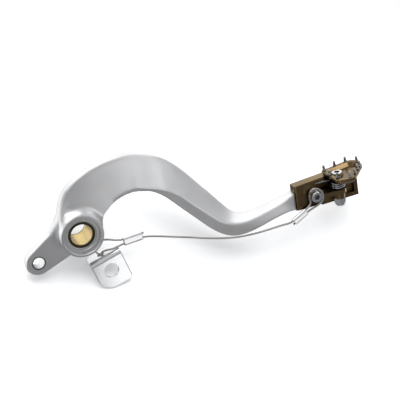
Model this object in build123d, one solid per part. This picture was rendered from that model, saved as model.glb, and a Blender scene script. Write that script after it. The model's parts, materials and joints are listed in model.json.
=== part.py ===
# Rear brake pedal of an off-road motorbike: forged arm, folding toe piece and safety cable.
# Millimetres. The origin is on the pivot axis, in the mid plane of the lug.
# X is forward, Y inboard, Z up. "Outboard" sizes are measured from the mid plane towards -Y.
from build123d import *
import math
import os

# Pivot boss
BOSS_OD = 31.5
BOSS_OUTBOARD = 15.0
BOSS_INBOARD = 12.5
BOSS_EDGE = 0.35
SEAT_DIA = 26.4
SEAT_DEPTH = 2.0
STEP_DIA = 22.0

# Flare that runs from the boss into the arm: outboard plane, shift forward, shift up, radius
FLARE_RINGS = [
    (14.6, 0.4, 0.4, 15.75),
    (10.8, 1.0, 1.1, 16.2),
    (7.4, 2.0, 2.2, 17.0),
    (5.5, 3.3, 3.7, 18.2),
    (4.6, 4.8, 5.2, 19.6),
    (3.8, 6.5, 6.9, 21.2),
    (1.6, 7.6, 8.0, 22.3),
]
FLARE_EDGE = 1.2
FLARE_TRIM = 1.6
FLARE_FOOT = -8.0

# Pivot bush and dust seals
BUSH_BORE = 16.0
BUSH_WALL = 2.0
BUSH_LENGTH = 23.0
BUSH_FIT = 0.03
SEAL_WIDTH = 1.1
SEAL_THICK = 0.9

# Clevis lug
LUG_X = -30.3
LUG_Z = -20.5
LUG_RADIUS = 9.6
LUG_THICK = 8.6
LUG_HOLE = 8.6
LUG_LOWER_ANGLE = 30.0
LUG_UPPER_ANGLE = 43.0
LUG_STRAIGHT = 13.4
LUG_BLEND = 30.0
LUG_BLEND_END = 90.0
LUG_EDGE = 1.5

# Centre line of the arm in side view: arch, fall, trough, rise, neck
ARCH_X = 42.0
ARCH_Z = -8.0
ARCH_RADIUS = 46.5
ARCH_START_ANGLE = 172.0
FALL_ANGLE = 41.0
FALL_LENGTH = 43.2
TROUGH_RADIUS = 22.0
RISE_ANGLE = 20.7
RISE_LENGTH = 29.0
NECK_RADIUS = 40.0
TIP_ANGLE = 9.5

# Arm sections along the centre line:
# stretch, share of it, outboard shift, width, thickness, twist, crease radius, edge radius
NECK_OUTBOARD = 14.6
NECK_DEPTH = 8.4
NECK_HEIGHT = 14.0
ARM_SECTIONS = [
    ("arch", 0.00, 1.0, 22.0, 16.0, 0, 3.0, 3.0),
    ("arch", 0.10, 0.5, 28.5, 12.0, 0, 3.2, 2.6),
    ("arch", 0.19, 0.0, 34.4, 9.4, 0, 3.6, 2.2),
    ("arch", 0.28, 0.0, 36.2, 9.0, 0, 4.0, 2.0),
    ("arch", 0.37, 0.0, 34.8, 9.0, 0, 4.0, 2.0),
    ("arch", 0.47, 0.0, 32.8, 9.0, 0, 4.0, 2.0),
    ("arch", 0.58, 0.0, 30.9, 9.0, 0, 4.0, 2.0),
    ("arch", 0.68, 0.0, 29.0, 9.0, 1, 4.0, 2.0),
    ("arch", 0.78, 0.6, 26.8, 9.4, 9, 3.6, 2.0),
    ("arch", 0.88, 1.3, 24.2, 10.4, 27, 2.6, 2.0),
    ("fall", 0.00, 2.7, 22.6, 11.4, 42, 1.4, 2.0),
    ("fall", 0.33, 5.0, 22.0, 11.4, 48, 1.0, 2.0),
    ("fall", 0.67, 7.3, 21.2, 11.4, 53, 1.0, 2.0),
    ("fall", 1.00, 9.6, 19.4, 12.1, 60, 1.0, 2.2),
    ("trough", 0.50, 11.5, 15.7, 13.4, 69, 1.0, 2.4),
    ("trough", 1.00, 13.0, 13.2, 12.1, 77, 1.0, 2.4),
    ("rise", 0.50, 14.0, 12.6, 10.6, 84, 1.0, 2.2),
    ("rise", 1.00, 14.5, 11.4, 11.2, 88, 1.0, 2.0),
    ("neck", 0.50, NECK_OUTBOARD, 10.0, 12.5, 90, 1.0, 1.8),
    ("neck", 1.00, NECK_OUTBOARD, NECK_DEPTH, NECK_HEIGHT, 90, 1.0, 1.6),
]

# Tongue of the arm and tip holder. Lengths run from the end of the neck along the tip.
TONGUE_LENGTH = 18.6
TONGUE_HEIGHT = 13.6
TONGUE_ROOT = 1.0
TONGUE_CORNER = 6.0
SEAT_GAP = 0.25
HOLDER_START = 0.4
HOLDER_END = 23.6
HOLDER_PROUD = 0.2
HOLDER_DEPTH = 8.2
CHEEK_THICK = 3.3
CHEEK_DROP = 7.3
CHEEK_CORNER = 2.0
PLATE_THICK = 5.2
PLATE_RISE = 1.9
PLATE_END_FRONT = 24.6
PLATE_END_BACK = 28.0
PLATE_EDGE = 0.5
NOTCH_START = 17.5
NOTCH_FLOOR = 2.7
NOTCH_TOP = 10.4

# Ear of the holder and fold axis
FOLD_REACH = 37.6
FOLD_OUTBOARD = 15.0
EAR_RADIUS = 5.7
EAR_THICK = 3.5
EAR_TOP = -0.1
EAR_ROOT = 21.0
COLLAR_RADIUS = 4.3
COLLAR_HEIGHT = 4.5

# Toe piece: cupped pad with a back web. Corners run along the tip and inboard from the fold axis.
PAD_CORNERS = [
    (-7.8, 12.3, 2.5),
    (23.2, 14.6, 8.0),
    (21.0, -1.4, 8.0),
    (6.2, -18.6, 6.0),
    (-6.4, -13.6, 4.5),
]
PAD_TILT = 3.5
PAD_BOTTOM = 7.6
PAD_HEIGHT = 4.8
PAD_UNDERCUT = 2.4
PAD_RIM = 3.2
CUP_DEPTH = 2.8
CUP_DRAFT = 36.0
PAD_EDGE = 0.5
SPOT_FACE_RADIUS = 4.6
SPOT_FACE = 9.2
PAD_BOSS_RADIUS = 4.2
PAD_BOSS = 6.6
DRAIN_DIA = 2.6
DRAIN_AHEAD = 7.6
DRAIN_INBOARD = -8.6
WEB_OUTBOARD = 8.0
WEB_THICK = 4.0
WEB_BACK = 12.0
WEB_TOP_BACK = 7.0
WEB_TAIL = 16.8
WEB_TAIL_TOP = 6.4
WEB_TAIL_FOOT = -4.0
WEB_AHEAD = 18.8
WEB_FOOT = 13.6
WEB_HEEL = 7.0
WEB_TOP = 9.6
POCKET_DEPTH = 2.5
POCKET_START = 3.0
POCKET_RIM = 3.0
POCKET_TOP = 5.0

# Grip studs along the rim, placed along the tip and inboard from the fold axis
STUD_PLACES = [
    (-5.3, 10.7),
    (4.0, 11.5),
    (13.4, 12.2),
    (20.3, 6.4),
    (18.2, -2.6),
    (14.4, -7.0),
    (9.6, -12.2),
    (4.2, -15.3),
    (-3.6, -9.2),
    (-5.7, -0.3),
]
STUD_SHANK = 2.0
STUD_SEAT = 2.4
STUD_COLLAR_DIA = 2.6
STUD_COLLAR = 0.9
STUD_BODY_DIA = 1.9
STUD_BODY = 2.4
STUD_TIP_DIA = 1.0
STUD_HEIGHT = 4.4
STUD_FIT = 0.05

# M5 fasteners
BOLT_DIA = 5.0
RUN_FIT = 0.05
HEAD_DIA = 8.0
CAP_HEAD = 5.0
LOW_HEAD = 2.7
HEX_SOCKET = 4.0
SOCKET_DEPTH = 2.4
HEAD_EDGE = 0.4
WASHER_DIA = 8.8
WASHER_THICK = 1.0
WASHER_FIT = 0.15
BOLT_WASHER_DIA = 8.4
BOLT_WASHER_THICK = 0.8
FOLD_GAP = 0.15
NUT_FLATS = 8.0
NUT_HEX = 4.0
NUT_DOME = 2.2
NUT_DOME_DIA = 7.4
NUT_DOME_EDGE = 1.2
INSERT_DIA = 5.9
INSERT_THICK = 1.4
BOLT_TAIL = -0.4
SCREW_AHEAD = 14.5
SCREW_UP = 2.8
SCREW_GRIP = 4.0
EYE_GAP = 2.4

# Torsion spring of the toe piece
WIRE_DIA = 1.5
COIL_RADIUS = 4.6
COIL_PITCH = 1.62
COIL_TURNS = 2.75
COIL_LIFT = 0.35
LONG_LEG = 16.5
SHORT_LEG = 6.0

# Frame bracket of bent sheet
BRACKET_X = 22.0
BRACKET_Z = -31.7
BRACKET_OUTBOARD = 9.0
BRACKET_ANGLE = 23.6
BRACKET_WIDTH = 24.4
BRACKET_RISE = 12.0
BRACKET_FALL = 13.4
BRACKET_FLANGE = 14.5
SHEET = 2.0
BEND_RADIUS = 2.5
BRACKET_HOLE = 11.0
EYE_HOLE = 5.4
EYE_ALONG = -1.5
EYE_BACK = 7.5
TAB_ROUND = 11.0
TAB_CORNER = 3.0
FLANGE_ROUND = 6.0
TAB_EDGE = 0.6

# Safety cable: one steel rope with an eye at each end, each eye closed by a two-bore ferrule.
# The bracket's eye and the free span are placed in the pedal frame, the tip's eye in the tip frame.
CABLE_DIA = 1.6
FERRULE_BORE = 1.9
FERRULE_EDGE = 0.4
BRACKET_FERRULE_LENGTH = 14.4
BRACKET_FERRULE_HEIGHT = 7.0
BRACKET_FERRULE_DEPTH = 3.8
BRACKET_FERRULE_PITCH = 3.4
BRACKET_FERRULE_AT = (39.3, -6.0, -9.95)
BRACKET_FERRULE_ANGLE = 12.4
TIP_FERRULE_LENGTH = 12.5
TIP_FERRULE_HEIGHT = 5.6
TIP_FERRULE_DEPTH = 3.4
TIP_FERRULE_PITCH = 2.6
TIP_FERRULE_AT = (1.3, -21.5, -11.13)
TIP_FERRULE_ANGLE = 27.4
BRACKET_ROUTE = [
    (47.4, -6.0, -6.43),
    (41.83, -6.06, -7.66),
    (36.17, -5.94, -8.9),
    (30.6, -6.0, -10.12),
    (25.4, -4.4, -10.0),
    (20.6, -1.2, -10.0),
    (16.4, 2.6, -12.2),
    (14.0, 6.2, -16.4),
    (14.0, 7.6, -21.6),
    (15.6, 5.4, -26.0),
    (17.0, 1.2, -26.6),
    (16.6, -1.4, -22.6),
    (16.0, -3.2, -18.8),
    (19.4, -5.2, -16.8),
    (24.8, -6.4, -16.0),
    (31.36, -6.0, -13.43),
    (36.93, -5.94, -12.21),
    (42.6, -6.06, -10.97),
    (48.45, -6.0, -9.68),
    (55.5, -7.3, -9.9),
    (66.0, -10.2, -10.6),
    (80.0, -14.6, -11.3),
    (97.0, -19.2, -13.0),
    (115.0, -21.6, -13.6),
    (131.0, -22.0, -12.0),
    (143.0, -21.9, -9.9),
]
TIP_ROUTE = [
    (-13.39, -21.7, -13.44),
    (-7.2, -21.5, -14.06),
    (-1.97, -21.56, -11.35),
    (3.36, -21.44, -8.59),
    (7.98, -21.5, -6.2),
    (11.41, -21.0, -3.39),
    (10.86, -20.5, 0.56),
    (11.12, -20.4, 4.57),
    (14.21, -20.4, 7.29),
    (18.52, -20.4, 6.37),
    (21.58, -20.4, 2.82),
    (22.23, -20.5, -1.75),
    (19.83, -20.8, -5.2),
    (15.09, -21.3, -6.85),
    (9.89, -21.5, -8.14),
    (4.56, -21.56, -10.9),
    (-0.77, -21.44, -13.66),
    (-4.86, -21.5, -15.78),
]
BEND_SHARE = 0.45

INBOARD = Vector(0, 1, 0)
os.makedirs("parts", exist_ok=True)


def save(name, shape):
    """Write one node, with as many solids as the piece has."""
    export_step(shape, f"parts/{name}.step")


def rod(radius, y0, y1, x=0.0, z=0.0):
    """Round bar along Y."""
    return Pos(x, (y0 + y1) / 2, z) * Rot(90, 0, 0) * Cylinder(radius, abs(y1 - y0))


def block(x0, x1, y0, y1, z0, z1):
    """Box from corner to corner."""
    centre = Pos((x0 + x1) / 2, (y0 + y1) / 2, (z0 + z1) / 2)
    return centre * Box(abs(x1 - x0), abs(y1 - y0), abs(z1 - z0))


def post(radius, z0, z1, x=0.0, y=0.0):
    """Round bar along the local Z."""
    return Pos(x, y, (z0 + z1) / 2) * Cylinder(radius, abs(z1 - z0))


def centre_line():
    """Side view of the arm's centre line, stretch by stretch, drawn in X and Z."""
    start_turn = math.radians(ARCH_START_ANGLE)
    start = Vector(
        ARCH_X + ARCH_RADIUS * math.cos(start_turn),
        ARCH_Z + ARCH_RADIUS * math.sin(start_turn),
    )
    heading = ARCH_START_ANGLE - 90
    line = {}
    for name, radius, amount in (
        ("arch", ARCH_RADIUS, -(heading + FALL_ANGLE)),
        ("fall", 0, FALL_LENGTH),
        ("trough", TROUGH_RADIUS, FALL_ANGLE + RISE_ANGLE),
        ("rise", 0, RISE_LENGTH),
        ("neck", NECK_RADIUS, TIP_ANGLE - RISE_ANGLE),
    ):
        ahead = Vector(1, 0).rotate(Axis.Z, heading)
        if radius:
            line[name] = JernArc(start, ahead, radius, amount)
            heading += amount
        else:
            line[name] = Line(start, start + ahead * amount)
        start = line[name] @ 1
    return line


LINE = centre_line()
NECK_END = LINE["neck"] @ 1
TIP_TURN = math.radians(TIP_ANGLE)

# Tip frame: X along the tip from the end of the neck, Y inboard, Z square to the tip
TIP = Plane(
    origin=(NECK_END.X, 0, NECK_END.Y),
    x_dir=(math.cos(TIP_TURN), 0, math.sin(TIP_TURN)),
    z_dir=(-math.sin(TIP_TURN), 0, math.cos(TIP_TURN)),
)
# Fold frame: the same directions, on the fold axis
FOLD = TIP.location * Pos(FOLD_REACH, -FOLD_OUTBOARD, 0)
# Seat of the pad: tilted against the fold axis
PAD_SEAT = Pos(0, 0, PAD_BOTTOM) * Rot(0, -PAD_TILT, 0)

NECK_FRONT = -NECK_OUTBOARD - NECK_DEPTH / 2
NECK_BACK = -NECK_OUTBOARD + NECK_DEPTH / 2
HOLDER_FRONT = NECK_FRONT - HOLDER_PROUD
CHEEK_BACK = HOLDER_FRONT + CHEEK_THICK
TONGUE_FRONT = CHEEK_BACK + SEAT_GAP
PLATE_BOTTOM = TONGUE_HEIGHT / 2 + SEAT_GAP
PLATE_TOP = PLATE_BOTTOM + PLATE_THICK
EAR_BOTTOM = EAR_TOP - EAR_THICK
COLLAR_BOTTOM = EAR_BOTTOM - COLLAR_HEIGHT
BUSH_OD = BUSH_BORE + 2 * BUSH_WALL
BUSH_END = BUSH_LENGTH / 2


def arm_section(point, ahead, outboard, width, thick, twist, crease, edge):
    """Rounded quadrilateral across the centre line, turned about it by the twist."""
    turn = math.radians(twist)
    up = Vector(-ahead.Y, 0, ahead.X)
    plane = Plane(
        origin=(point.X, -outboard, point.Y),
        x_dir=up * math.cos(turn) + INBOARD * math.sin(turn),
        z_dir=(ahead.X, 0, ahead.Y),
    )
    outline = FilletPolyline(
        (-width / 2, thick / 2),
        (width / 2, thick / 2),
        (width / 2, -thick / 2),
        (-width / 2, -thick / 2),
        radius=[crease, edge, edge, edge],
        close=True,
    )
    return plane * make_face(outline)


def make_lug():
    """Flat lug with its eye, drawn in X and Z, running up into the root of the arm."""
    lower = Vector(1, 0).rotate(Axis.Z, LUG_LOWER_ANGLE)
    upper = Vector(1, 0).rotate(Axis.Z, LUG_UPPER_ANGLE)
    eye = Vector(LUG_X, LUG_Z)
    lower_start = eye + Vector(lower.Y, -lower.X) * LUG_RADIUS
    upper_start = eye + Vector(-upper.Y, upper.X) * LUG_RADIUS
    back = Vector(-1, 0).rotate(Axis.Z, (LUG_LOWER_ANGLE + LUG_UPPER_ANGLE) / 2)
    upper_end = upper_start + upper * (LUG_STRAIGHT / upper.X)
    lower_end = lower_start + lower * (-lower_start.X / lower.X)
    blend = JernArc(upper_end, upper, LUG_BLEND, LUG_BLEND_END - LUG_UPPER_ANGLE)
    root = Vector(0, (blend @ 1).Y)
    outline = Curve() + [
        Line(lower_end, lower_start),
        ThreePointArc(lower_start, eye + back * LUG_RADIUS, upper_start),
        Line(upper_start, upper_end),
        blend,
        Line(blend @ 1, root),
        Line(root, lower_end),
    ]
    plate = extrude(Plane.XZ * make_face(outline), LUG_THICK / 2, both=True)
    flats = plate.faces().filter_by(Axis.Y)
    return fillet(flats.edges(), LUG_EDGE)


def make_flare():
    """Flank from the boss up into the arm, trimmed along the arm's inner edge."""
    rings = []
    for outboard, forward, up, radius in FLARE_RINGS:
        plane = Plane(origin=(forward, -outboard, up), x_dir=(1, 0, 0), z_dir=(0, -1, 0))
        rings.append(plane * Circle(radius))
    inner_edge = ARCH_RADIUS - ARM_SECTIONS[3][3] / 2 + FLARE_TRIM
    trim = rod(inner_edge, -2 * BOSS_OUTBOARD, 2 * BOSS_INBOARD, ARCH_X, ARCH_Z)
    flare = loft(rings) - trim
    trimmed = flare.faces().filter_by(GeomType.CYLINDER).sort_by(SortBy.AREA)[-1]
    flare = fillet(trimmed.edges().sort_by(Axis.Y)[:-1], FLARE_EDGE)
    return flare - block(-BOSS_OD, BOSS_OD, -BOSS_OD, 0, FLARE_FOOT, -BOSS_OD)


def make_tongue():
    """Flat tongue past the neck that the holder clamps."""
    half = TONGUE_HEIGHT / 2
    outline = Polyline(
        (-TONGUE_ROOT, -half),
        (TONGUE_LENGTH, -half),
        (TONGUE_LENGTH, half - TONGUE_CORNER),
        (TONGUE_LENGTH - TONGUE_CORNER / 2, half),
        (-TONGUE_ROOT, half),
        close=True,
    )
    flat = Plane.XZ.offset(-NECK_BACK) * make_face(outline)
    return TIP * extrude(flat, NECK_BACK - TONGUE_FRONT)


def make_arm():
    """Forged arm with boss, lug and tongue in one piece, then its bores."""
    sections = []
    for stretch, share, *sizes in ARM_SECTIONS:
        edge = LINE[stretch]
        sections.append(arm_section(edge @ share, edge % share, *sizes))
    boss = rod(BOSS_OD / 2, -BOSS_OUTBOARD, BOSS_INBOARD)
    boss = fillet(boss.edges().filter_by(GeomType.CIRCLE), BOSS_EDGE)
    arm = loft(sections) + make_lug() + boss + make_flare() + make_tongue()
    arm -= rod(BUSH_OD / 2 + BUSH_FIT, -BUSH_END, BUSH_END)
    arm -= rod(STEP_DIA / 2, -BOSS_OUTBOARD, -BUSH_END)
    arm -= rod(STEP_DIA / 2, BUSH_END, BOSS_INBOARD)
    arm -= rod(SEAT_DIA / 2, -BOSS_OUTBOARD, -BOSS_OUTBOARD + SEAT_DEPTH)
    lug_eye = rod(LUG_HOLE / 2, -LUG_THICK, LUG_THICK, LUG_X, LUG_Z)
    arm -= lug_eye
    arm -= TIP * rod(BOLT_DIA / 2 + RUN_FIT, NECK_FRONT, NECK_BACK + 1, SCREW_AHEAD, SCREW_UP)
    return arm


def make_bush():
    """Plain brass bush with a seal groove at each end."""
    bush = rod(BUSH_OD / 2, -BUSH_END, BUSH_END) - rod(BUSH_BORE / 2, -BUSH_END, BUSH_END)
    for y0, y1 in ((-BUSH_END, -BUSH_END + SEAL_THICK), (BUSH_END - SEAL_THICK, BUSH_END)):
        bush -= rod(BUSH_BORE / 2 + SEAL_WIDTH, y0, y1)
    return bush


def make_seal(y0, y1):
    """Rubber ring in the end of the bush, its lip flush with the bore."""
    outside = rod(BUSH_BORE / 2 + SEAL_WIDTH, y0, y1)
    return outside - rod(BUSH_BORE / 2, y0, y1)


def make_holder():
    """Clamp block: cheek and top plate round the tongue, ear and collar for the fold bolt."""
    back = HOLDER_FRONT + HOLDER_DEPTH
    cheek = block(HOLDER_START, HOLDER_END, HOLDER_FRONT, CHEEK_BACK, -CHEEK_DROP, PLATE_BOTTOM)
    plate_outline = Polyline(
        (HOLDER_START, HOLDER_FRONT),
        (PLATE_END_FRONT, HOLDER_FRONT),
        (PLATE_END_BACK, back),
        (HOLDER_START, back),
        close=True,
    )
    plate = Pos(0, 0, PLATE_BOTTOM) * extrude(make_face(plate_outline), PLATE_THICK + PLATE_RISE)
    above = Polyline(
        (HOLDER_START, PLATE_TOP),
        (PLATE_END_BACK, PLATE_TOP + PLATE_RISE),
        (HOLDER_START, PLATE_TOP + PLATE_RISE),
        close=True,
    )
    plate -= extrude(Plane.XZ.offset(-back) * make_face(above), HOLDER_DEPTH)
    notch = block(NOTCH_START, PLATE_END_BACK, HOLDER_FRONT, back, NOTCH_FLOOR, NOTCH_TOP)
    body = cheek + plate - notch
    corner = body.edges().filter_by(Axis.Z).group_by(Axis.X)[0].sort_by(Axis.Y)[0]
    body = fillet(corner, CHEEK_CORNER)
    top = body.faces().sort_by(Axis.Z)[-1]
    body = fillet(top.edges(), PLATE_EDGE)
    ear_outline = Polyline(
        (EAR_ROOT, HOLDER_FRONT),
        (FOLD_REACH, -FOLD_OUTBOARD - EAR_RADIUS),
        (FOLD_REACH, -FOLD_OUTBOARD + EAR_RADIUS),
        (EAR_ROOT, back),
        close=True,
    )
    ear = Pos(0, 0, EAR_BOTTOM) * extrude(make_face(ear_outline), EAR_THICK)
    ear += post(EAR_RADIUS, EAR_BOTTOM, EAR_TOP, FOLD_REACH, -FOLD_OUTBOARD)
    collar = post(COLLAR_RADIUS, COLLAR_BOTTOM, EAR_TOP, FOLD_REACH, -FOLD_OUTBOARD)
    body = body + ear + collar
    body -= post(BOLT_DIA / 2 + RUN_FIT, COLLAR_BOTTOM, EAR_TOP, FOLD_REACH, -FOLD_OUTBOARD)
    body -= rod(BOLT_DIA / 2 + RUN_FIT, HOLDER_FRONT, CHEEK_BACK, SCREW_AHEAD, SCREW_UP)
    return TIP * body


def make_toe():
    """Cupped pad with its back web, in one piece."""
    corners = [(x, y) for x, y, radius in PAD_CORNERS]
    radii = [radius for x, y, radius in PAD_CORNERS]
    outline = make_face(FilletPolyline(*corners, radius=radii, close=True))
    pad = extrude(outline, PAD_HEIGHT)
    pad = chamfer(pad.faces().sort_by(Axis.Z)[0].edges(), PAD_UNDERCUT)
    pad = fillet(pad.faces().sort_by(Axis.Z)[-1].edges(), PAD_EDGE)
    mouth = Pos(0, 0, PAD_HEIGHT) * offset(outline, -PAD_RIM)
    cup = extrude(mouth, -CUP_DEPTH, taper=CUP_DRAFT)
    drain = post(DRAIN_DIA / 2, 0, PAD_HEIGHT, DRAIN_AHEAD, DRAIN_INBOARD)
    for x, y in STUD_PLACES:
        pad -= post(STUD_SHANK / 2 + STUD_FIT, PAD_HEIGHT - STUD_SEAT - STUD_FIT, PAD_HEIGHT, x, y)
    web_outline = Polyline(
        (-WEB_BACK, -WEB_FOOT),
        (WEB_AHEAD, -WEB_FOOT),
        (WEB_AHEAD, WEB_TOP),
        (-WEB_TOP_BACK, WEB_TOP),
        (-WEB_TAIL, WEB_TAIL_TOP),
        (-WEB_TAIL, WEB_TAIL_FOOT),
        (-WEB_BACK, -WEB_HEEL),
        close=True,
    )
    web_front = FOLD_OUTBOARD - WEB_OUTBOARD
    web = extrude(Plane.XZ.offset(-web_front) * make_face(web_outline), -WEB_THICK)
    web -= block(
        POCKET_START,
        WEB_AHEAD - POCKET_RIM,
        web_front,
        web_front + POCKET_DEPTH,
        -WEB_FOOT + POCKET_RIM,
        POCKET_TOP,
    )
    boss = post(PAD_BOSS_RADIUS, PAD_BOSS, SPOT_FACE)
    toe = PAD_SEAT * pad + web + boss - PAD_SEAT * (cup + drain)
    toe -= post(SPOT_FACE_RADIUS, SPOT_FACE, SPOT_FACE + PAD_HEIGHT)
    toe -= post(BOLT_DIA / 2 + RUN_FIT, PAD_BOSS, SPOT_FACE)
    return FOLD * toe


def make_studs():
    """Turned steel studs pressed into the rim."""
    profile = Polyline(
        (0, -STUD_SEAT),
        (STUD_SHANK / 2, -STUD_SEAT),
        (STUD_SHANK / 2, 0),
        (STUD_COLLAR_DIA / 2, 0),
        (STUD_COLLAR_DIA / 2, STUD_COLLAR),
        (STUD_BODY_DIA / 2, STUD_COLLAR),
        (STUD_BODY_DIA / 2, STUD_COLLAR + STUD_BODY),
        (STUD_TIP_DIA / 2, STUD_HEIGHT),
        (0, STUD_HEIGHT),
        close=True,
    )
    stud = revolve(Plane.XZ * make_face(profile), Axis.Z)
    places = [FOLD * PAD_SEAT * Pos(x, y, PAD_HEIGHT) for x, y in STUD_PLACES]
    return Compound(children=[place * stud for place in places])


def cap_screw(head_height, shank_length):
    """Socket-head screw along the local Z, its head above the seat at zero."""
    head = post(HEAD_DIA / 2, 0, head_height)
    head = fillet(head.edges().filter_by(GeomType.CIRCLE).group_by(Axis.Z)[-1], HEAD_EDGE)
    socket = RegularPolygon(HEX_SOCKET / 2, 6, major_radius=False)
    head -= Pos(0, 0, head_height - SOCKET_DEPTH) * extrude(socket, SOCKET_DEPTH)
    return head + post(BOLT_DIA / 2, -shank_length, 0)


def washer(outside, thick):
    """Plain washer standing on zero along the local Z."""
    return post(outside / 2, 0, thick) - post(BOLT_DIA / 2 + WASHER_FIT, 0, thick)


def make_nut():
    """Lock nut below the collar, with the recess of its nylon ring."""
    hexagon = extrude(RegularPolygon(NUT_FLATS / 2, 6, major_radius=False), -NUT_HEX)
    dome = post(NUT_DOME_DIA / 2, -NUT_HEX - NUT_DOME, -NUT_HEX)
    dome = fillet(dome.edges().filter_by(GeomType.CIRCLE).group_by(Axis.Z)[0], NUT_DOME_EDGE)
    nut = hexagon + dome
    nut -= post(BOLT_DIA / 2 + RUN_FIT, -NUT_HEX - NUT_DOME, 0)
    nut -= post(INSERT_DIA / 2, -NUT_HEX - NUT_DOME, -NUT_HEX - NUT_DOME + INSERT_THICK)
    return nut


def make_insert():
    """Nylon ring in the lower end of the nut."""
    low = -NUT_HEX - NUT_DOME
    ring = post(INSERT_DIA / 2, low, low + INSERT_THICK)
    return ring - post(BOLT_DIA / 2 + RUN_FIT, low, low + INSERT_THICK)


def make_spring():
    """Torsion spring on the fold bolt: long leg behind the holder, short leg to the web."""
    base = EAR_TOP + COIL_LIFT + WIRE_DIA / 2
    coil = Pos(0, 0, base) * Rot(0, 0, 180) * Helix(COIL_PITCH, COIL_PITCH * COIL_TURNS, COIL_RADIUS)
    start = Plane(origin=coil @ 0, z_dir=coil % 0) * Circle(WIRE_DIA / 2)
    spring = sweep(start, path=coil, is_frenet=True)
    spring += extrude(start, SHORT_LEG, dir=-(coil % 0))
    finish = Plane(origin=coil @ 1, z_dir=coil % 1) * Circle(WIRE_DIA / 2)
    spring += extrude(finish, LONG_LEG, dir=coil % 1)
    return spring


def make_bracket():
    """Bent sheet: upright tab with the bolt hole, flange with the cable's eye."""
    turn = math.radians(BRACKET_ANGLE)
    frame = Plane(
        origin=(BRACKET_X, -BRACKET_OUTBOARD, BRACKET_Z),
        x_dir=(math.cos(turn), 0, math.sin(turn)),
        z_dir=(0, -1, 0),
    )
    middle = FilletPolyline(
        (-SHEET / 2, -BRACKET_FALL),
        (-SHEET / 2, BRACKET_RISE - SHEET / 2),
        (-BRACKET_FLANGE, BRACKET_RISE - SHEET / 2),
        radius=BEND_RADIUS,
    )
    side = Plane(origin=(0, 0, 0), x_dir=(0, 0, 1), z_dir=(-1, 0, 0))
    sheet = extrude(side * trace(middle, SHEET), BRACKET_WIDTH / 2, both=True)
    half = BRACKET_WIDTH / 2
    tab = FilletPolyline(
        (-half, -BRACKET_FALL),
        (half, -BRACKET_FALL),
        (half, BRACKET_RISE),
        (-half, BRACKET_RISE),
        radius=[TAB_ROUND, TAB_CORNER, TAB_EDGE, TAB_EDGE],
        close=True,
    )
    sheet &= extrude(make_face(tab), BRACKET_FLANGE, both=True)
    flange = FilletPolyline(
        (-half, 0),
        (half, 0),
        (half, BRACKET_FLANGE),
        (-half, BRACKET_FLANGE),
        radius=[TAB_EDGE, TAB_EDGE, FLANGE_ROUND, FLANGE_ROUND],
        close=True,
    )
    upright = Plane(origin=(0, 0, 0), x_dir=(1, 0, 0), z_dir=(0, 1, 0))
    sheet &= extrude(upright * make_face(flange), BRACKET_FALL + BRACKET_RISE, both=True)
    sheet -= post(BRACKET_HOLE / 2, -SHEET, 0)
    flange_middle = BRACKET_RISE - SHEET / 2
    sheet -= rod(EYE_HOLE / 2, flange_middle - SHEET, flange_middle + SHEET, EYE_ALONG, -EYE_BACK)
    return frame * sheet


def make_ferrule(place, angle, length, height, depth, pitch):
    """Oval crimp sleeve with two bores side by side."""
    turn = math.radians(angle)
    plane = Plane(
        origin=place,
        x_dir=(-math.sin(turn), 0, math.cos(turn)),
        z_dir=(math.cos(turn), 0, math.sin(turn)),
    )
    oval = SlotOverall(height, depth)
    sleeve = extrude(oval, length / 2, both=True)
    sleeve = fillet(sleeve.faces().filter_by(Axis.Z).edges(), FERRULE_EDGE)
    for side in (-pitch / 2, pitch / 2):
        sleeve -= post(FERRULE_BORE / 2, -length / 2, length / 2, side)
    return plane * sleeve


def make_cable():
    """Steel rope along its route, straight runs joined by tangent arcs."""
    points = [Vector(*p) for p in BRACKET_ROUTE]
    points += [TIP.from_local_coords(Vector(*p)) for p in TIP_ROUTE]
    radii = []
    for before, here, after in zip(points, points[1:], points[2:]):
        arrive = here - before
        leave = after - here
        turn = math.radians(arrive.get_angle(leave))
        radii.append(BEND_SHARE * min(arrive.length, leave.length) / math.tan(turn / 2))
    path = FilletPolyline(*points, radius=radii)
    section = Plane(origin=path @ 0, z_dir=path % 0) * Circle(CABLE_DIA / 2)
    cable = sweep(section, path=path)
    straight = path.length * math.pi * CABLE_DIA**2 / 4
    print("cable bend radii", [round(r, 1) for r in radii])
    print(f"cable length {path.length:.1f}, volume {cable.volume:.1f} of {straight:.1f}")
    return cable


washer_seat = HOLDER_FRONT - EYE_GAP
screw_frame = TIP.location * Pos(SCREW_AHEAD, washer_seat - WASHER_THICK, SCREW_UP) * Rot(90, 0, 0)
screw_length = CHEEK_THICK + EYE_GAP + WASHER_THICK + SCREW_GRIP
bolt_washer_seat = SPOT_FACE + FOLD_GAP
bolt_seat = bolt_washer_seat + BOLT_WASHER_THICK
bolt_length = bolt_seat - COLLAR_BOTTOM + NUT_HEX + NUT_DOME + BOLT_TAIL

save("pedal_arm", make_arm())
save("pivot_bush", make_bush())
save("outer_dust_seal", make_seal(-BUSH_END, -BUSH_END + SEAL_THICK))
save("inner_dust_seal", make_seal(BUSH_END - SEAL_THICK, BUSH_END))
save("tip_holder", make_holder())
save("holder_screw", screw_frame * cap_screw(CAP_HEAD, screw_length))
save("holder_washer", screw_frame * Pos(0, 0, -WASHER_THICK) * washer(WASHER_DIA, WASHER_THICK))
save("toe_pad", make_toe())
save("pad_studs", make_studs())
save("pivot_bolt", FOLD * Pos(0, 0, bolt_seat) * cap_screw(LOW_HEAD, bolt_length))
save("bolt_washer", FOLD * Pos(0, 0, bolt_washer_seat) * washer(BOLT_WASHER_DIA, BOLT_WASHER_THICK))
save("lock_nut", FOLD * Pos(0, 0, COLLAR_BOTTOM) * make_nut())
save("nut_insert", FOLD * Pos(0, 0, COLLAR_BOTTOM) * make_insert())
save("fold_spring", FOLD * make_spring())
save("snake_cable", make_cable())
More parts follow.
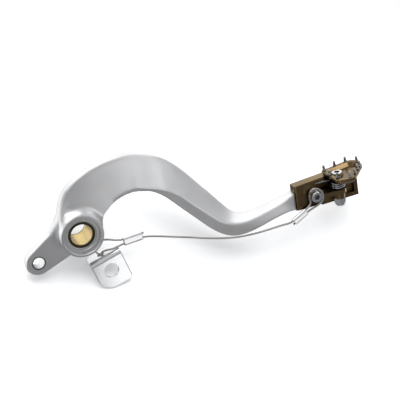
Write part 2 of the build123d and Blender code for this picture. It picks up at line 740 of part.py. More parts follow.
save(
    "tip_ferrule",
    TIP
    * make_ferrule(
        TIP_FERRULE_AT,
        TIP_FERRULE_ANGLE,
        TIP_FERRULE_LENGTH,
        TIP_FERRULE_HEIGHT,
        TIP_FERRULE_DEPTH,
        TIP_FERRULE_PITCH,
    ),
)
save(
    "bracket_ferrule",
    make_ferrule(
        BRACKET_FERRULE_AT,
        BRACKET_FERRULE_ANGLE,
        BRACKET_FERRULE_LENGTH,
        BRACKET_FERRULE_HEIGHT,
        BRACKET_FERRULE_DEPTH,
        BRACKET_FERRULE_PITCH,
    ),
)
save("frame_bracket", make_bracket())
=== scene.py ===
import json
import math

import bpy
import numpy as np
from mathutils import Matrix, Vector


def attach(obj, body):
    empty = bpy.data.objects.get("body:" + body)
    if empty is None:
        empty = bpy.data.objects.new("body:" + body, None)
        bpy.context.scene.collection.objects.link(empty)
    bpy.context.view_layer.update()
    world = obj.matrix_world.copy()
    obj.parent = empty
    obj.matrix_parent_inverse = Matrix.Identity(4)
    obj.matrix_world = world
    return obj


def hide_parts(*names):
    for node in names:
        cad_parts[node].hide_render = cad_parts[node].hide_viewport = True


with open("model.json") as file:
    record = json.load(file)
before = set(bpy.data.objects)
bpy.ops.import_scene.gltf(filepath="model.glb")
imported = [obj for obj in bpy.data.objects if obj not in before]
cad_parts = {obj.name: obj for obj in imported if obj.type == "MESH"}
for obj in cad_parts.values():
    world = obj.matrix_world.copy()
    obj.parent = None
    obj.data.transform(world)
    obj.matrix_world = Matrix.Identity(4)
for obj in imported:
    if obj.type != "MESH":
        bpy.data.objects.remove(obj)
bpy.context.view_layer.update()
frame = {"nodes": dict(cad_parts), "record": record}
nodes = frame["nodes"]
mounts = {mount["name"]: mount for mount in frame["record"]["mounts"]}
scene = bpy.context.scene


def placed(name, data):
    """New object in the scene."""
    obj = bpy.data.objects.new(name, data)
    scene.collection.objects.link(obj)
    return obj


def aim(obj, place, direction):
    """Stand a camera or lamp at a place, looking in a direction."""
    obj.location = place
    obj.rotation_mode = "QUATERNION"
    obj.rotation_quaternion = direction.to_track_quat("-Z", "Y")


# Camera: the photograph's viewing angle
AZIMUTH = math.radians(19.5)
ELEVATION = math.radians(20.5)
TARGET = Vector((0.09152, -0.005, 0.012889))
DISTANCE = 0.9
SENSOR_MM = 36
LENS_MM = 110.16
NEAREST = 0.05
FARTHEST = 20
BACK = Vector((
    -math.sin(AZIMUTH) * math.cos(ELEVATION),
    -math.cos(AZIMUTH) * math.cos(ELEVATION),
    math.sin(ELEVATION),
))

camera = placed("camera", bpy.data.cameras.new("camera"))
camera.data.sensor_width = SENSOR_MM
camera.data.lens = LENS_MM
camera.data.clip_start = NEAREST
camera.data.clip_end = FARTHEST
aim(camera, TARGET + BACK * DISTANCE, -BACK)
scene.camera = camera

# Cable route, as in the part: the bracket's eye and the free span, then the tip's eye in the tip frame
BRACKET_ROUTE = [
    (0.0474, -0.0060, -0.00643),
    (0.04183, -0.00606, -0.00766),
    (0.03617, -0.00594, -0.0089),
    (0.0306, -0.0060, -0.01012),
    (0.0254, -0.0044, -0.0100),
    (0.0206, -0.0012, -0.0100),
    (0.0164, 0.0026, -0.0122),
    (0.0140, 0.0062, -0.0164),
    (0.0140, 0.0076, -0.0216),
    (0.0156, 0.0054, -0.0260),
    (0.0170, 0.0012, -0.0266),
    (0.0166, -0.0014, -0.0226),
    (0.0160, -0.0032, -0.0188),
    (0.0194, -0.0052, -0.0168),
    (0.0248, -0.0064, -0.0160),
    (0.03136, -0.0060, -0.01343),
    (0.03693, -0.00594, -0.01221),
    (0.0426, -0.00606, -0.01097),
    (0.04845, -0.0060, -0.00968),
    (0.0555, -0.0073, -0.0099),
    (0.0660, -0.0102, -0.0106),
    (0.0800, -0.0146, -0.0113),
    (0.0970, -0.0192, -0.0130),
    (0.1150, -0.0216, -0.0136),
    (0.1310, -0.0220, -0.0120),
    (0.1430, -0.0219, -0.0099),
]
TIP_ROUTE = [
    (-0.01339, -0.0217, -0.01344),
    (-0.0072, -0.0215, -0.01406),
    (-0.00197, -0.02156, -0.01135),
    (0.00336, -0.02144, -0.00859),
    (0.00798, -0.0215, -0.0062),
    (0.01141, -0.0210, -0.00339),
    (0.01086, -0.0205, 0.00056),
    (0.01112, -0.0204, 0.00457),
    (0.01421, -0.0204, 0.00729),
    (0.01852, -0.0204, 0.00637),
    (0.02158, -0.0204, 0.00282),
    (0.02223, -0.0205, -0.00175),
    (0.01983, -0.0208, -0.0052),
    (0.01509, -0.0213, -0.00685),
    (0.00989, -0.0215, -0.00814),
    (0.00456, -0.02156, -0.0109),
    (-0.00077, -0.02144, -0.01366),
    (-0.00486, -0.0215, -0.01578),
]
TIP_ORIGIN = Vector((0.161985, 0, 0.007061))
TIP_ANGLE = math.radians(9.5)
ROUTE_RESOLUTION = 24

# Rope: a core with six strands laid round it
CABLE_DIA = 0.0016
STRANDS = 6
STRAND_RADIUS = CABLE_DIA / 6
STRAND_CORNERS = 8
CORE_CORNERS = 6
LAY_LENGTH = 0.0085
ROPE_STEP = 0.0006


def tip_point(x, y, z):
    """Point of the tip frame in the shared frame."""
    c = math.cos(TIP_ANGLE)
    s = math.sin(TIP_ANGLE)
    return TIP_ORIGIN + Vector((c * x - s * z, y, s * x + c * z))


route = [Vector(p) for p in BRACKET_ROUTE] + [tip_point(*p) for p in TIP_ROUTE]


def route_line():
    """Points of one open NURBS spline that has the route's points as its control points."""
    curve = bpy.data.curves.new("route", "CURVE")
    curve.dimensions = "3D"
    spline = curve.splines.new("NURBS")
    spline.points.add(len(route) - 1)
    for point, place in zip(spline.points, route):
        point.co = (*place, 1)
    spline.order_u = 3
    spline.use_endpoint_u = True
    spline.resolution_u = ROUTE_RESOLUTION
    carrier = placed("route", curve)
    line = bpy.data.meshes.new_from_object(carrier)
    points = np.array([vertex.co[:] for vertex in line.vertices])
    bpy.data.objects.remove(carrier)
    bpy.data.meshes.remove(line)
    return points


def even_steps(points, step):
    """The same line with points at even distances, and the distance of each."""
    runs = np.linalg.norm(np.diff(points, axis=0), axis=1)
    along = np.concatenate([[0], np.cumsum(runs)])
    marks = np.linspace(0, along[-1], int(along[-1] / step) + 1)
    return np.stack([np.interp(marks, along, points[:, i]) for i in range(3)], axis=1), marks


def frames(points):
    """Two directions across the line at each point, turning as little as possible."""
    ahead = np.gradient(points, axis=0)
    ahead /= np.linalg.norm(ahead, axis=1)[:, None]
    side = np.cross(ahead[0], (0, 0, 1))
    sides = []
    for direction in ahead:
        side = side - direction * np.dot(side, direction)
        side /= np.linalg.norm(side)
        sides.append(side)
    sides = np.array(sides)
    return sides, np.cross(ahead, sides)


def add_tube(line, radius, corners, verts, faces):
    """Round tube along a line, closed at both ends."""
    first = len(verts)
    sides, ups = frames(line)
    turns = np.arange(corners) * 2 * math.pi / corners
    for centre, side, up in zip(line, sides, ups):
        for turn in turns:
            verts.append(tuple(centre + radius * (math.cos(turn) * side + math.sin(turn) * up)))
    for i in range(len(line) - 1):
        for j in range(corners):
            k = (j + 1) % corners
            low = first + i * corners
            faces.append((low + j, low + k, low + corners + k, low + corners + j))
    last = first + (len(line) - 1) * corners
    faces.append(tuple(range(first + corners - 1, first - 1, -1)))
    faces.append(tuple(range(last, last + corners)))


def rope_mesh(line, marks):
    """Core along the line, with the strands as helices round it."""
    verts = []
    faces = []
    add_tube(line, STRAND_RADIUS, CORE_CORNERS, verts, faces)
    across, over = frames(line)
    for strand_number in range(STRANDS):
        angle = marks / LAY_LENGTH * 2 * math.pi + strand_number * 2 * math.pi / STRANDS
        offset = np.cos(angle)[:, None] * across + np.sin(angle)[:, None] * over
        strand_line = line + offset * (CABLE_DIA / 2 - STRAND_RADIUS)
        add_tube(strand_line, STRAND_RADIUS, STRAND_CORNERS, verts, faces)
    mesh = bpy.data.meshes.new("cable_rope")
    mesh.from_pydata(verts, [], faces)
    mesh.shade_smooth()
    return mesh


cable_line, cable_marks = even_steps(route_line(), ROPE_STEP)
cable = placed("cable_rope", rope_mesh(cable_line, cable_marks))
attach(cable, "pedal")
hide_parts("snake_cable")


class Tree:
    """Short names for building the node tree of a material or world."""

    def __init__(self, owner, bare=False):
        owner.use_nodes = True
        self.tree = owner.node_tree
        if bare:
            self.tree.nodes.clear()

    def feed(self, socket, source):
        """Give an input an output to follow, or a constant."""
        if isinstance(source, bpy.types.NodeSocket):
            self.tree.links.new(source, socket)
        else:
            socket.default_value = source

    def add(self, kind, inputs=None, **settings):
        """New node with its settings and inputs."""
        node = self.tree.nodes.new(kind)
        for key, setting in settings.items():
            setattr(node, key, setting)
        for key, source in (inputs or {}).items():
            self.feed(node.inputs[key], source)
        return node

    def ranged(self, value, low, high, start=0.0, end=1.0, kind="LINEAR"):
        """Value between low and high as a value between start and end, held there."""
        limits = {"From Min": low, "From Max": high, "To Min": start, "To Max": end}
        node = self.add("ShaderNodeMapRange", {"Value": value, **limits}, interpolation_type=kind)
        return node.outputs["Result"]

    def span(self, share, start, end):
        """Value between start and end for a share between 0 and 1."""
        return self.ranged(share, 0.0, 1.0, start, end)

    def blend(self, value, low, high, start=0.0, end=1.0):
        """Smooth step of a value from start to end."""
        return self.ranged(value, low, high, start, end, "SMOOTHSTEP")

    def fade(self, value, low, high):
        """Smooth step of a value from 1 to 0."""
        return self.blend(value, low, high, 1.0, 0.0)

    def combined(self, operation, first, second):
        """Two numbers joined by an operation."""
        return self.add("ShaderNodeMath", {0: first, 1: second}, operation=operation).outputs["Value"]

    def times(self, first, *others):
        """Product of several numbers."""
        for other in others:
            first = self.combined("MULTIPLY", first, other)
        return first

    def vector(self, operation, *operands, result="Vector"):
        """Vector that an operation on vectors gives."""
        node = self.add("ShaderNodeVectorMath", dict(enumerate(operands)), operation=operation)
        return node.outputs[result]

    def measure(self, operation, *operands):
        """Number that an operation on vectors gives."""
        return self.vector(operation, *operands, result="Value")

    def ramp(self, share, *stops):
        """Colour at a share of the way along the stops."""
        node = self.add("ShaderNodeValToRGB", {"Fac": share})
        bar = node.color_ramp
        while len(bar.elements) < len(stops):
            bar.elements.new(0.5)
        for element, (at, colour) in zip(bar.elements, stops):
            element.position = at
            element.color = (*colour, 1)
        return node.outputs["Color"]


class Finish(Tree):
    """One material of the part, on a Principled shader."""

    def __init__(self, name):
        self.material = bpy.data.materials.new(name)
        super().__init__(self.material)
        self.shader = self.tree.nodes["Principled BSDF"]
        coordinates = self.add("ShaderNodeTexCoord")
        self.place = coordinates.outputs["Object"]
        self.own_normal = coordinates.outputs["Normal"]

    def set(self, key, source):
        """Give an input of the shader an output to follow, or a constant."""
        self.feed(self.shader.inputs[key], source)

    def noise(self, scale, detail=3.0, stretch=None):
        """Even noise, or noise stretched along the object's axes."""
        place = self.place
        if stretch:
            place = self.add("ShaderNodeMapping", {"Vector": place, "Scale": stretch}).outputs["Vector"]
        node = self.add("ShaderNodeTexNoise", {"Vector": place, "Scale": scale, "Detail": detail})
        return node.outputs["Fac"]

    def tinted(self, tone, factor):
        """Tone times a factor."""
        node = self.add(
            "ShaderNodeMix", {"Factor": 1.0, "A": tone, "B": factor},
            data_type="RGBA", blend_type="MULTIPLY",
        )
        return node.outputs["Result"]

    def shaded(self, tone, reach, darkest):
        """The tone with painted shade: darkened where near walls close the surface in."""
        near = self.add("ShaderNodeAmbientOcclusion", {"Distance": reach}, samples=CREVICE_SAMPLES)
        return self.tinted(tone, self.ranged(near.outputs["AO"], *CREVICE_RANGE, darkest, 1.0))

    def mixed(self, factor, first, second):
        """Mix of two vectors, each a constant or an output; the vectors are the fifth and sixth inputs."""
        return self.add("ShaderNodeMix", {0: factor, 4: first, 5: second}, data_type="VECTOR").outputs[1]

    def turned_out(self, vector):
        """Vector of the object's own axes in the world."""
        node = self.add(
            "ShaderNodeVectorTransform", {"Vector": vector},
            vector_type="VECTOR", convert_from="OBJECT", convert_to="WORLD",
        )
        return node.outputs["Vector"]

    def leaned(self, normal, lean, share):
        """Normal with a share of a lean, in the object's own axes, added to it."""
        scaled = self.add("ShaderNodeVectorMath", {0: lean, "Scale": share}, operation="SCALE")
        return self.vector("ADD", normal, self.turned_out(scaled.outputs["Vector"]))

    def axis_radius(self, x=0.0, z=0.0):
        """Distance from an axis along Y."""
        return self.measure("LENGTH", self.vector("MULTIPLY_ADD", self.place, (1, 0, 1), (-x, 0, -z)))

    def along(self, axis):
        """Coordinate along one of the object's axes."""
        return self.add("ShaderNodeSeparateXYZ", {"Vector": self.place}).outputs[axis]

    def facing(self, axis):
        """Part of the mesh's own normal along one of the object's axes."""
        return self.add("ShaderNodeSeparateXYZ", {"Vector": self.own_normal}).outputs[axis]

    def bump(self, height, strength, depth, normal=None):
        """Bump by a height, over a normal if one is given."""
        node = self.add("ShaderNodeBump", {"Height": height, "Strength": strength, "Distance": depth})
        if normal:
            self.feed(node.inputs["Normal"], normal)
        return node


# Metals and moulded pieces: tones are linear, lengths in metres
# Painted shade: metals' base colours darken by ambient occlusion in crevices, down to each metal's shade
CREVICE_SAMPLES = 6
CREVICE_RANGE = (0.35, 0.9)
EDGE_SAMPLES = 4
EDGE_RADIUS = 0.00035
METAL_MOTTLE = (0.35, 0.65)
MOULDED_MOTTLE = (0.3, 0.7)
MOTTLE_SCALE = 45
MOTTLE_DETAIL = 2.0
GRAIN_DETAIL = 4.0
GRAIN_BUMP = 0.35


def mottled(m, noise, tones, stops):
    """Tone that wanders between a dark and a light one."""
    return m.ramp(noise, *zip(stops, tones))


def metal(name, tones, rough, grain, depth, stretch=None, crevice=0.003, shade=0.3):
    """Metal with a fine grain, uneven gloss, softened edges and painted shade in crevices."""
    m = Finish(name)
    m.set("Metallic", 1.0)
    tone = mottled(m, m.noise(MOTTLE_SCALE, MOTTLE_DETAIL), tones, METAL_MOTTLE)
    m.tone = m.shaded(tone, crevice, shade)
    m.set("Base Color", m.tone)
    fine = m.noise(grain, GRAIN_DETAIL, stretch)
    m.set("Roughness", m.span(fine, *rough))
    m.edges = m.add("ShaderNodeBevel", {"Radius": EDGE_RADIUS}, samples=EDGE_SAMPLES)
    m.soft_normal = m.edges.outputs["Normal"]
    m.grained = m.bump(fine, GRAIN_BUMP, depth, m.soft_normal)
    m.set("Normal", m.grained.outputs["Normal"])
    return m


def moulded(name, tones, mottle, rough, grain, strength, depth):
    """Rubber or plastic with a mottled tone and a fine grain."""
    m = Finish(name)
    m.set("Base Color", mottled(m, m.noise(mottle), tones, MOULDED_MOTTLE))
    m.set("Roughness", rough)
    m.set("Normal", m.bump(m.noise(grain), strength, depth).outputs["Normal"])
    return m


aluminium = metal(
    "satin_forged_aluminium", ((0.74, 0.745, 0.75), (0.80, 0.805, 0.81)),
    rough=(0.28, 0.36), grain=2600, depth=0.00004, crevice=0.001, shade=0.5,
)
brass = metal(
    "machined_brass", ((0.63, 0.47, 0.18), (0.72, 0.56, 0.25)),
    rough=(0.22, 0.32), grain=900, depth=0.00003, stretch=(1, 12, 1),
)
bronze = metal(
    "bronze_anodised", ((0.165, 0.112, 0.052), (0.215, 0.152, 0.075)),
    rough=(0.22, 0.30), grain=2200, depth=0.00002, crevice=0.006, shade=0.1,
)
bright = metal(
    "bright_steel", ((0.70, 0.71, 0.72), (0.80, 0.81, 0.82)),
    rough=(0.12, 0.2), grain=1500, depth=0.00001, shade=0.08,
)
stud = metal(
    "turned_stud_steel", ((0.40, 0.39, 0.38), (0.54, 0.53, 0.52)),
    rough=(0.18, 0.26), grain=1500, depth=0.00002,
)
spring = metal(
    "drawn_spring_wire", ((0.40, 0.40, 0.43), (0.52, 0.52, 0.55)),
    rough=(0.2, 0.3), grain=1800, depth=0.00002,
)
rope = metal(
    "stranded_cable_steel", ((0.62, 0.61, 0.59), (0.74, 0.73, 0.71)),
    rough=(0.3, 0.42), grain=2500, depth=0.00002, crevice=0.0008, shade=0.45,
)
crimp = metal(
    "crimp_aluminium", ((0.88, 0.885, 0.89), (0.94, 0.945, 0.95)),
    rough=(0.24, 0.34), grain=1400, depth=0.00003,
)
sheet = metal(
    "polished_sheet_steel", ((0.80, 0.81, 0.82), (0.87, 0.88, 0.88)),
    rough=(0.14, 0.24), grain=900, depth=0.00001, stretch=(1, 8, 8),
)
rubber = moulded(
    "black_seal_rubber", ((0.012, 0.011, 0.010), (0.028, 0.026, 0.024)),
    mottle=300, rough=0.55, grain=4000, strength=0.3, depth=0.00003,
)
nylon = moulded(
    "nylon_insert", ((0.62, 0.64, 0.68), (0.74, 0.76, 0.80)),
    mottle=400, rough=0.45, grain=3000, strength=0.2, depth=0.00002,
)

# The arm's zones. A pair is where a zone starts and where it is whole, or the other way round.
# Radii are from the pivot's axis, and facings are parts of the mesh's own normal.
BOSS_RADIUS = (0.0153, 0.0158)
LUG_ROOT_X = (-0.0270, -0.0190)
FORGED_EDGE_RADIUS = 0.0035

COLLAR_RADIUS = (0.0172, 0.0182)
COLLAR_FRONT_Y = (-0.0085, -0.0060)
COLLAR_LEAN = (0, -0.45, 0)

SEAT_BORE_RADIUS = (0.0086, 0.0090)
SEAT_RIM_RADIUS = (0.0140, 0.0143)
SEAT_EASE = 0.0005
STEP_RADII = (0.0112, 0.0141)
STEP_HALF_WIDTH = 0.0005
STEP_CREST = 0.0001
STEP_LEAN = 1.2
STEP_LOW_Z = (-0.0100, -0.0030)
STEP_FACING_Y = (-0.9, -0.8)

FLANK_INNER_RADIUS = (0.0160, 0.0212)
FLANK_OUTER_RADIUS = (0.0310, 0.0340)
FLANK_FACING_Y = (-0.70, -0.10)
FLANK_LEFT_X = (-0.0120, -0.0040)
FLANK_LOW_Z = (0.0050, 0.0120)
FACE_NORMAL = (0.0, -1.0, 0.02)

BEND_X = (0.042, 0.060, 0.069)
BEND_NORMALS = ((0.0, -1.0, 0.01), (0.0, -0.94, 0.33), (0.14, -0.81, 0.57))
BEND_START_X = (0.036, 0.045)
BEND_END_X = (0.067, 0.075)
BEND_FACING_Y = (-0.78, -0.6)
BEND_FACING_Z = (-0.22, -0.04)
BEND_FLATNESS = (0.95, 0.995)

# Painted shade in the arm's base colour: darker boss face, dark rim at the front of the lug's eye, darker
# sides
BOSS_PAINTED_SHADE = 0.84
EYE_AT = mounts["clevis_hole"]["pos_m"]
EYE_RADIUS = mounts["clevis_hole"]["dims"]["r_mm"] / 1000
EYE_RIM_WIDTH = (0.0006, 0.0010)
EYE_RIM_RADIUS = [EYE_RADIUS + width for width in EYE_RIM_WIDTH]
EYE_RIM_Y = (-0.0040, -0.0035)
EYE_RIM_PAINTED_SHADE = 0.12
SIDE_FRONT_FACING = (-0.6, -0.3)
SIDE_BACK_FACING = (0.3, 0.6)
SIDE_PAINTED_SHADE = 0.94

RINGS_RADIUS = (0.0153, 0.0156)
RINGS_SCALE = 700
RINGS_DISTORTION = 0.4
RINGS_BUMP = 0.25
RINGS_DEPTH = 0.00001


def soften_edges(m):
    """Broad soft edges on the forging, narrow ones on the boss and lug, wider ones in the seat."""
    forged = m.times(m.blend(m.from_pivot, *BOSS_RADIUS), m.blend(m.along("X"), *LUG_ROOT_X))
    in_seat = m.times(m.blend(m.from_pivot, *SEAT_BORE_RADIUS), m.fade(m.from_pivot, *SEAT_RIM_RADIUS))
    wide = m.span(forged, EDGE_RADIUS, FORGED_EDGE_RADIUS)
    m.feed(m.edges.inputs["Radius"], m.combined("ADD", wide, m.span(in_seat, 0.0, SEAT_EASE)))


def collar_normal(m):
    """Softened normal, leaning out on the steep collar round the boss."""
    on_collar = m.times(
        m.blend(m.from_pivot, *BOSS_RADIUS),
        m.fade(m.from_pivot, *COLLAR_RADIUS),
        m.fade(m.along("Y"), *COLLAR_FRONT_Y),
    )
    return m.leaned(m.soft_normal, COLLAR_LEAN, on_collar)


def seat_normal(m, normal):
    """Normal that leans up on the lower edges of the seat's turned steps."""
    inward = m.vector("NORMALIZE", m.vector("MULTIPLY", m.place, (-1, 0, -1)))
    low_side = m.times(m.fade(m.along("Z"), *STEP_LOW_Z), m.fade(m.facing("Y"), *STEP_FACING_Y))
    for radius in STEP_RADII:
        on_step = m.times(
            m.blend(m.from_pivot, radius - STEP_HALF_WIDTH, radius - STEP_CREST, 0.0, STEP_LEAN),
            m.fade(m.from_pivot, radius + STEP_CREST, radius + STEP_HALF_WIDTH),
        )
        normal = m.leaned(normal, inward, m.times(on_step, low_side))
    return normal


def flank_normal(m, normal):
    """Normal of the arm's face, kept over the flank above the boss."""
    on_flank = m.times(
        m.blend(m.from_pivot, *FLANK_INNER_RADIUS),
        m.fade(m.from_pivot, *FLANK_OUTER_RADIUS),
        m.fade(m.facing("Y"), *FLANK_FACING_Y),
        m.blend(m.along("X"), *FLANK_LEFT_X),
        m.blend(m.along("Z"), *FLANK_LOW_Z),
    )
    return m.mixed(on_flank, normal, m.turned_out(FACE_NORMAL))


def bend_normal(m, normal):
    """Normal that turns evenly over the whole width of the arm at the bend."""
    x = m.along("X")
    turning = m.mixed(m.ranged(x, BEND_X[0], BEND_X[1]), BEND_NORMALS[0], BEND_NORMALS[1])
    turning = m.mixed(m.ranged(x, BEND_X[1], BEND_X[2]), turning, BEND_NORMALS[2])
    surface = m.add("ShaderNodeNewGeometry").outputs["Normal"]
    on_bend = m.times(
        m.fade(m.facing("Y"), *BEND_FACING_Y),
        m.blend(m.facing("Z"), *BEND_FACING_Z),
        m.blend(x, *BEND_START_X),
        m.fade(x, *BEND_END_X),
        m.blend(m.measure("DOT_PRODUCT", surface, m.soft_normal), *BEND_FLATNESS),
    )
    return m.mixed(on_bend, normal, m.turned_out(turning))


def arm_tone(m):
    """Tone with painted shade: a darker boss, a dark rim round the lug's eye and slightly darker sides."""
    boss = m.blend(m.from_pivot, *BOSS_RADIUS, BOSS_PAINTED_SHADE, 1.0)
    eye_rim_shade = m.blend(m.axis_radius(EYE_AT[0], EYE_AT[2]), *EYE_RIM_RADIUS, EYE_RIM_PAINTED_SHADE, 1.0)
    eye = m.combined("MAXIMUM", m.blend(m.along("Y"), *EYE_RIM_Y), eye_rim_shade)
    side = m.times(m.blend(m.facing("Y"), *SIDE_FRONT_FACING), m.fade(m.facing("Y"), *SIDE_BACK_FACING))
    return m.tinted(m.tinted(m.tinted(m.tone, boss), eye), m.span(side, 1.0, SIDE_PAINTED_SHADE))


def boss_rings(m):
    """Fine turned rings on the boss face."""
    rings = m.add(
        "ShaderNodeTexWave", {"Vector": m.place, "Scale": RINGS_SCALE, "Distortion": RINGS_DISTORTION},
        wave_type="RINGS", rings_direction="Y",
    )
    return m.times(rings.outputs["Fac"], m.fade(m.from_pivot, *RINGS_RADIUS))


aluminium.from_pivot = aluminium.axis_radius()
soften_edges(aluminium)
forged_normal = flank_normal(aluminium, seat_normal(aluminium, collar_normal(aluminium)))
even_normal = aluminium.vector("NORMALIZE", bend_normal(aluminium, forged_normal))
aluminium.feed(aluminium.grained.inputs["Normal"], even_normal)
ringed = aluminium.bump(boss_rings(aluminium), RINGS_BUMP, RINGS_DEPTH, aluminium.grained.outputs["Normal"])
aluminium.set("Normal", ringed.outputs["Normal"])
aluminium.set("Base Color", arm_tone(aluminium))

# The bush: bright bore, outer end darkened with painted shade
BUSH_END_Y = (-0.0113, -0.0098)
BUSH_END_PAINTED_SHADE = 0.22
bush_end_shade = brass.blend(brass.along("Y"), *BUSH_END_Y, BUSH_END_PAINTED_SHADE, 1.0)
brass.set("Base Color", brass.tinted(brass.tone, bush_end_shade))

FINISHES = {
    "pedal_arm": aluminium,
    "pivot_bush": brass,
    "outer_dust_seal": rubber,
    "inner_dust_seal": rubber,
    "tip_holder": bronze,
    "holder_screw": bright,
    "holder_washer": bright,
    "toe_pad": bronze,
    "pad_studs": stud,
    "pivot_bolt": bright,
    "bolt_washer": bright,
    "lock_nut": bright,
    "nut_insert": nylon,
    "fold_spring": spring,
    "tip_ferrule": crimp,
    "bracket_ferrule": crimp,
    "frame_bracket": sheet,
}
for name, finish in FINISHES.items():
    data = nodes[name].data
    data.materials.clear()
    data.materials.append(finish.material)
cable.data.materials.append(rope.material)

# Stage: a white sloping table behind the part, and a white wall seen only in reflections
TABLE_HALF = 4
TABLE_AT = (0.09, 0.0201, 0)
TABLE_FACES = Vector((-0.06, -1.0, 0.7))
TABLE_TONE = (0.85, 0.86, 0.87, 1)
TABLE_GLOW = 0.25
TABLE_FADE = (0.17, 0.26)
WALL_AT = (0, 0.12, 0)
WALL_OUTLINE = (
    (-0.30, -0.04), (-0.11, -0.04), (-0.11, -0.10), (-0.04, -0.10),
    (-0.04, 0.03), (0.32, 0.03), (0.32, 0.45), (-0.30, 0.45),
)
WALL_GLOW = 1.25
RAYS = ("camera", "diffuse", "glossy", "transmission", "shadow")


def stage_sheet(name, outline, place, seen_by, material):
    """Flat sheet of the stage that one kind of ray sees; its outline's corners lie across and up."""
    mesh = bpy.data.meshes.new(name)
    mesh.from_pydata([(x, 0, z) for x, z in outline], [], [tuple(range(len(outline)))])
    mesh.materials.append(material)
    obj = placed(name, mesh)
    obj.location = place
    for ray in RAYS:
        setattr(obj, "visible_" + ray, ray == seen_by)
    return obj


def backfacing(m):
    """1 where the surface is seen from behind, 0 in front."""
    return m.add("ShaderNodeNewGeometry").outputs["Backfacing"]


def show(m, shader, hidden):
    """Put out a shader that is clear where it is hidden."""
    clear = m.add("ShaderNodeBsdfTransparent")
    sides = m.add("ShaderNodeMixShader", {"Fac": hidden, 1: shader.outputs[0], 2: clear.outputs[0]})
    m.add("ShaderNodeOutputMaterial", {"Surface": sides.outputs[0]})


def table_material():
    """White, clear from behind and away from the part."""
    material = bpy.data.materials.new("white_table")
    m = Tree(material, bare=True)
    matt = m.add("ShaderNodeBsdfDiffuse", {"Color": TABLE_TONE})
    glow = m.add("ShaderNodeEmission", {"Strength": TABLE_GLOW})
    both = m.add("ShaderNodeAddShader", {0: matt.outputs[0], 1: glow.outputs[0]})
    from_middle = m.measure("LENGTH", m.add("ShaderNodeTexCoord").outputs["Object"])
    show(m, both, m.combined("MAXIMUM", m.blend(from_middle, *TABLE_FADE), backfacing(m)))
    return material


def wall_material():
    """White glow, clear from behind."""
    material = bpy.data.materials.new("white_wall")
    m = Tree(material, bare=True)
    show(m, m.add("ShaderNodeEmission", {"Strength": WALL_GLOW}), backfacing(m))
    return material


table_corners = [(x * TABLE_HALF, z * TABLE_HALF) for x, z in ((-1, -1), (1, -1), (1, 1), (-1, 1))]
table = stage_sheet("table", table_corners, TABLE_AT, "camera", table_material())
table.rotation_mode = "QUATERNION"
table.rotation_quaternion = Vector((0, -1, 0)).rotation_difference(TABLE_FACES)
stage_sheet("back_wall", WALL_OUTLINE, WALL_AT, "glossy", wall_material())

# Studio light: a sky graded by height, a broad soft key from above and to the left
SKY = ((0.0, 0.36), (0.15, 0.32), (0.33, 0.21), (0.46, 0.33), (0.68, 0.48), (0.78, 0.62), (1.0, 0.60))
SKY_BLUE = 1.015
KEY_FROM = (-0.40, 0.22, 0.89)
KEY_SPREAD = (0.78, 0.92)
KEY_STRENGTH = 2.8
WHITE = (1, 1, 1, 1)


def light_world(world):
    """Sky and key light; the camera sees plain white."""
    m = Tree(world, bare=True)
    towards = m.add("ShaderNodeTexCoord").outputs["Generated"]
    upwards = m.add("ShaderNodeSeparateXYZ", {"Vector": towards}).outputs["Z"]
    tones = [(at, (tone, tone, tone * SKY_BLUE)) for at, tone in SKY]
    graded = m.ramp(m.ranged(upwards, -1.0, 1.0), *tones)
    sky = m.add("ShaderNodeBackground", {"Color": graded, "Strength": 1.0})
    near_key = m.measure("DOT_PRODUCT", towards, KEY_FROM)
    key = m.add("ShaderNodeBackground", {"Strength": m.blend(near_key, *KEY_SPREAD, 0.0, KEY_STRENGTH)})
    lit = m.add("ShaderNodeAddShader", {0: sky.outputs[0], 1: key.outputs[0]})
    white = m.add("ShaderNodeBackground", {"Color": WHITE, "Strength": 1.0})
    seen = m.add("ShaderNodeLightPath").outputs["Is Camera Ray"]
    mix = m.add("ShaderNodeMixShader", {"Fac": seen, 1: lit.outputs[0], 2: white.outputs[0]})
    m.add("ShaderNodeOutputWorld", {"Surface": mix.outputs[0]})


scene.world = bpy.data.worlds.new("studio")
light_world(scene.world)


def softbox(name, place, target, width, height, power, lit_nodes=()):
    """Rectangular soft light turned towards a point, for the whole scene or some nodes only."""
    lamp = bpy.data.lights.new(name, "AREA")
    lamp.shape = "RECTANGLE"
    lamp.size = width
    lamp.size_y = height
    lamp.energy = power
    obj = placed(name, lamp)
    aim(obj, place, Vector(target) - Vector(place))
    if lit_nodes:
        group = bpy.data.collections.new(name + "_receivers")
        for node_name in lit_nodes:
            group.objects.link(nodes[node_name])
        obj.light_linking.receiver_collection = group
    return obj


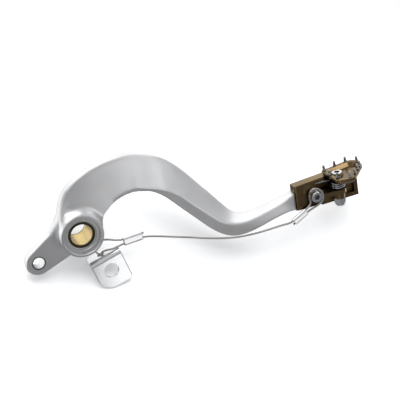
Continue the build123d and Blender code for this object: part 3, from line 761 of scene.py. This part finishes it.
# Small reflectors: name, place, target, width, height, power and the nodes that each one lights
ARM = ("pedal_arm",)
TIP_PIECES = (
    "tip_holder", "toe_pad", "pad_studs", "pivot_bolt", "bolt_washer", "holder_screw", "holder_washer",
    "lock_nut", "fold_spring", "tip_ferrule",
)
REFLECTORS = (
    ("arch_panel", (0.135, -0.26, -0.045), (0.045, -0.005, 0.035), 0.09, 0.11, 0.031, ARM),
    ("rim_panel", (0.155, -0.26, 0.08), (0.055, -0.005, 0.038), 0.07, 0.13, 0.029, ARM),
    ("bend_panel", (0.19, -0.26, 0.22), (0.065, -0.007, 0.033), 0.16, 0.16, 0.012, ARM),
    ("left_panel", (-0.17, -0.26, 0.06), (-0.013, -0.006, 0.014), 0.10, 0.12, 0.028, ARM),
    ("left_wall", (-0.15, -0.02, -0.04), (0.0, -0.02, -0.04), 0.24, 0.16, 0.108, ARM),
    ("flank_panel", (0.23, 0.02, 0.285), (0.006, -0.012, 0.016), 0.12, 0.12, 0.050, ARM),
    ("rise_panel", (0.30, -0.26, -0.15), (0.14, -0.02, 0.0), 0.14, 0.14, 0.030, (*ARM, "tip_ferrule")),
    ("low_panel", (0.115, -0.26, -0.14), (0.025, -0.009, -0.025), 0.075, 0.075, 0.021, ("frame_bracket",)),
    ("eye_panel", (0.109, -0.26, -0.116), (0.037, -0.008, -0.009), 0.08, 0.08, 0.030, ("bracket_ferrule",)),
    ("crimp_panel", (0.276, -0.26, -0.104), (0.167, -0.023, -0.003), 0.08, 0.08, 0.014, ("tip_ferrule",)),
    ("tip_panel", (0.252, -0.075, 0.13), (0.215, -0.005, 0.04), 0.055, 0.055, 0.045, TIP_PIECES),
    ("left_strip", (0.074, -0.26, -0.09), (0.20, -0.019, 0.01), 0.03, 0.10, 0.024, TIP_PIECES),
    ("right_wing", (0.43, 0.03, -0.07), (0.215, -0.01, 0.02), 0.12, 0.12, 0.080, TIP_PIECES),
)
for reflector in REFLECTORS:
    softbox(*reflector)
sky_panel = softbox("sky_panel", (0.05, -0.45, 1.1), (0.09, 0.0, 0.0), 1.0, 1.0, 13.5)
sky_panel.visible_glossy = False

scene.view_settings.view_transform = "Standard"
